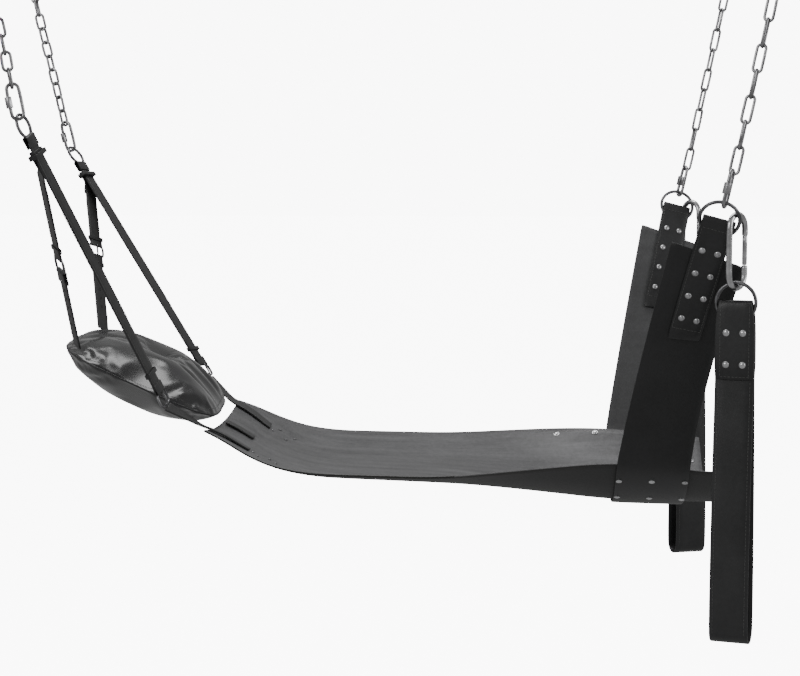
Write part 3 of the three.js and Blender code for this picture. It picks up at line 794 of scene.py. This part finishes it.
def chain(node, name, count, size, turn, wobble):
    """Separate links between the two ends of a chain's solid, each a quarter turn from the last."""
    wire, half_width, half_length = size
    points = [v.co.copy() for v in NODES[node].data.vertices]
    low_z, high_z = min(p.z for p in points), max(p.z for p in points)
    ends = []
    for level in (low_z, high_z):
        near = [p for p in points if abs(p.z - level) < 1.0 * MM]
        ends.append(sum(near, Vector()) / len(near))
    axis = (ends[1] - ends[0]).normalized()
    first = ends[0] + axis * (half_length + wire * 0.9)
    last = ends[1] - axis * (half_length + wire * 0.9)
    flat = axis.cross(Vector((0, 1, 0))).normalized()
    depth = flat.cross(axis)
    dice = random.Random(node)
    template = link_shape(wire, half_width, half_length)
    places = []
    for i in range(count):
        angle = turn + (math.pi / 2 if i % 2 == 0 else 0) + dice.uniform(-wobble, wobble)
        wide = flat * math.cos(angle) + depth * math.sin(angle)
        tilt = dice.uniform(-wobble, wobble) * 0.12
        lean = (axis + wide * tilt).normalized()
        wide = (wide - lean * wide.dot(lean)).normalized()
        centre = first.lerp(last, i / (count - 1))
        places.append(basis(wide, lean, wide.cross(lean), centre))
    piece = copied(template, places, name)
    bpy.data.objects.remove(template)
    finished(piece, body_of(node), "chain_steel", node)


LONG_LINK = (2.3 * MM, 6.1 * MM, 19.15 * MM)
SHORT_LINK = (2.35 * MM, 6.6 * MM, 13.75 * MM)
for name, side in SIDES:
    chain(f"foot_chain_{name}", f"foot_chain_links_{name}", 9, LONG_LINK, side * 1.22, 0.12)
    chain(f"head_chain_{name}", f"head_chain_links_{name}", 9 if name == "right" else 11, SHORT_LINK,
          side * 0.35, 0.3)


# ---------------------------------------------------------------- rivets on the seat
def seat_rivets():
    spots, dark_spots = [], []
    low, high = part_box("cradle_band")
    for side in (-1, 1):
        for x in (0.372, 0.421, 0.470):
            hit = onto(BAND_TREE, Vector((x, side * 0.30, -0.835)), Vector((0, -side, 0.12)).normalized())
            if hit:
                spots.append(hit)
            hit = onto(BAND_TREE, Vector((x, side * 0.105, -1.0)), UP)
            if hit:
                spots.append(hit)
        for x, y in ((0.285, 0.186), (0.349, 0.176), (0.505, 0.160), (0.505, 0.130)):
            hit = onto(PANEL_TREE, Vector((x, side * y, -0.6)), -UP)
            if hit:
                spots.append(hit)
        for x, y in ((-0.186, 0.118), (-0.162, 0.104), (-0.176, 0.140), (-0.150, 0.126)):
            hit = onto(PANEL_TREE, Vector((x, side * y, -0.6)), -UP)
            if hit:
                dark_spots.append(hit)
    rivets(spots, "seat_rivets", "sling")
    finished(copied(DARK_RIVET, [facing(normal, point) for point, normal in dark_spots], "seat_head_rivets"),
             "sling", "chain_steel")


seat_rivets()


# ---------------------------------------------------------------- pillow
def pillow_blank(half_length, half_width, loft):
    """Two flat leather panels sewn round a rounded outline, as one closed shell."""
    rings, around = 26, 132
    points, faces = [], []

    def outline(turn):
        c, s = math.cos(turn), math.sin(turn)
        return (math.copysign(abs(c) ** 0.5, c) * half_length, math.copysign(abs(s) ** 0.5, s) * half_width)

    for way in (1, -1):
        base = len(points)
        points.append((0, 0, way * loft))
        for ring in range(1, rings + (1 if way == 1 else 0)):
            share = ring / rings
            for i in range(around):
                x, y = outline(2 * math.pi * (i + 0.5) / around)
                points.append((x * share, y * share, way * loft * (1 - share ** 3)))
        edge_row = 1 + (rings - 1) * around

        def at(ring, i, base=base, way=way):
            if ring == rings:
                return edge_row + i % around
            return base + 1 + (ring - 1) * around + i % around

        for i in range(around):
            cap = [base, at(1, i), at(1, i + 1)]
            faces.append(cap if way == 1 else cap[::-1])
            for ring in range(1, rings):
                quad = [at(ring, i), at(ring + 1, i), at(ring + 1, i + 1), at(ring, i + 1)]
                faces.append(quad if way == 1 else quad[::-1])
    mesh = bpy.data.meshes.new("pillow_cover")
    mesh.from_pydata(points, [], faces)
    mesh.update()
    obj = bpy.data.objects.new("pillow_cover", mesh)
    bpy.context.scene.collection.objects.link(obj)
    return obj, [edge_row + i for i in range(around)]


def make_pillow():
    centre, (wide, deep, thick) = principal_axes(NODES["pillow"])
    wide = pointing(wide, Vector((0, 1, 0)))
    deep = pointing(deep, Vector((1, 0, 0)))
    thick = pointing(thick, UP)
    points = [v.co - centre for v in NODES["pillow"].data.vertices]
    half = [max(abs(p.dot(axis)) for p in points) for axis in (deep, wide, thick)]
    obj, seam = pillow_blank(half[0], half[1], half[2] * (0.5))
    held = obj.vertex_groups.new(name="held")
    held.add(seam, 1.0, "REPLACE")
    cloth = obj.modifiers.new("cloth", "CLOTH")
    cloth.settings.vertex_group_mass = "held"
    cloth.settings.shrink_min = -PILLOW_SPARE_LEATHER
    cloth.settings.quality = 6
    cloth.settings.mass = 0.25
    cloth.settings.tension_stiffness = 40
    cloth.settings.compression_stiffness = 40
    cloth.settings.shear_stiffness = 12
    cloth.settings.bending_stiffness = 0.15
    cloth.settings.use_pressure = True
    cloth.settings.uniform_pressure_force = PILLOW_PRESSURE
    cloth.settings.effector_weights.gravity = 0
    for step in range(1, PILLOW_STEPS + 1):
        bpy.context.scene.frame_set(step)
    only(obj)
    bpy.ops.object.modifier_apply(modifier="cloth")
    bpy.context.scene.frame_set(1)
    found = [max(abs(v.co[k]) for v in obj.data.vertices) for k in range(3)]
    for v in obj.data.vertices:
        v.co = Vector([v.co[k] * half[k] / found[k] for k in range(3)])
    obj.data.transform(basis(deep, wide, deep.cross(wide), centre))
    modify(obj, "SUBSURF", levels=1, render_levels=1)
    smooth(obj, 80)
    coat(obj, PILLOW)
    finished(obj, "sling", "pillow_leather", "pillow")
    return obj, [obj.data.vertices[i].co.copy() for i in seam], centre, thick


pillow, seam_points, pillow_centre, pillow_up = make_pillow()


def seam_piping():
    """A thin welt sewn into the pillow's seam, with a line of stitches above it."""
    curve = bpy.data.curves.new("pillow_piping", "CURVE")
    curve.dimensions = "3D"
    curve.bevel_depth = 1.5 * MM
    curve.bevel_resolution = 3
    spline = curve.splines.new("POLY")
    spline.points.add(len(seam_points) - 1)
    for point, place in zip(spline.points, seam_points):
        point.co = (*place, 1)
    spline.use_cyclic_u = True
    obj = bpy.data.objects.new("pillow_piping", curve)
    bpy.context.scene.collection.objects.link(obj)
    only(obj)
    bpy.ops.object.convert(target="MESH")
    obj = bpy.context.object
    smooth(obj, 60)
    coat(obj, STRAP)
    finished(obj, "sling", "pillow_leather")
    tree = surface_of(pillow)
    line = []
    for place in seam_points + seam_points[:1]:
        inward = (pillow_centre - place).normalized()
        start = place + inward * 7 * MM + pillow_up * 0.06
        hit = onto(tree, start, -pillow_up)
        if hit:
            line.append(hit)
    stitches([line], "pillow_stitches", "sling", "pillow_leather", 4.6 * MM)


seam_piping()

for template in (RIVET, DARK_RIVET, STITCH, EYELET):
    bpy.data.objects.remove(template)

# ---------------------------------------------------------------- camera, floor and light
FLOOR_BELOW = 0.35  # clear of the stirrups
FOCAL_PER_WIDTH = 2.385
SENSOR = 36
CAMERA_PLACE = (0.222, -3.0, -0.331)
CAMERA_DOWN = 5.48  # degrees below the horizon
CAMERA_LEFT = 3.6
bpy.ops.object.camera_add(location=CAMERA_PLACE,
                          rotation=(math.radians(90 - CAMERA_DOWN), 0, math.radians(CAMERA_LEFT)))
camera = bpy.context.object
camera.data.sensor_width = SENSOR
camera.data.lens = SENSOR * FOCAL_PER_WIDTH
bpy.context.scene.camera = camera

bpy.ops.mesh.primitive_plane_add(size=60, location=(0, 0, cad_low[2] - FLOOR_BELOW))
floor = bpy.context.object
coat(floor, FLOOR)
floor.visible_glossy = False
floor.visible_diffuse = False
floor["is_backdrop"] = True


def softbox(name, place, target, size, power):
    data = bpy.data.lights.new(name, "AREA")
    data.shape = "RECTANGLE"
    data.size, data.size_y = size
    data.energy = power
    lamp = bpy.data.objects.new(name, data)
    lamp.location = place
    lamp.rotation_euler = (Vector(target) - Vector(place)).to_track_quat("-Z", "Y").to_euler()
    bpy.context.scene.collection.objects.link(lamp)


softbox("top_light", (-0.2, 0.8, 2.2), (0, 0, -0.7), (2.4, 1.2), 52)
softbox("front_light", (-2.4, -3.2, 1.0), (0, 0, -0.6), (2.2, 1.6), 45)
softbox("side_light", (3.0, -1.2, 0.4), (0.3, 0, -0.7), (1.4, 1.8), 28)
world = bpy.data.worlds.new("studio")
world.use_nodes = True
tree = world.node_tree
ray = tree.nodes.new("ShaderNodeLightPath")
glow = tree.nodes.new("ShaderNodeMapRange")
glow.inputs["To Min"].default_value = ROOM_LIGHT
glow.inputs["To Max"].default_value = PAPER_GLOW
tree.links.new(ray.outputs["Is Camera Ray"], glow.inputs["Value"])
tree.links.new(glow.outputs["Result"], tree.nodes["Background"].inputs["Strength"])
tree.nodes["Background"].inputs["Color"].default_value = (1, 1, 1, 1)
bpy.context.scene.world = world

low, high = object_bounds()
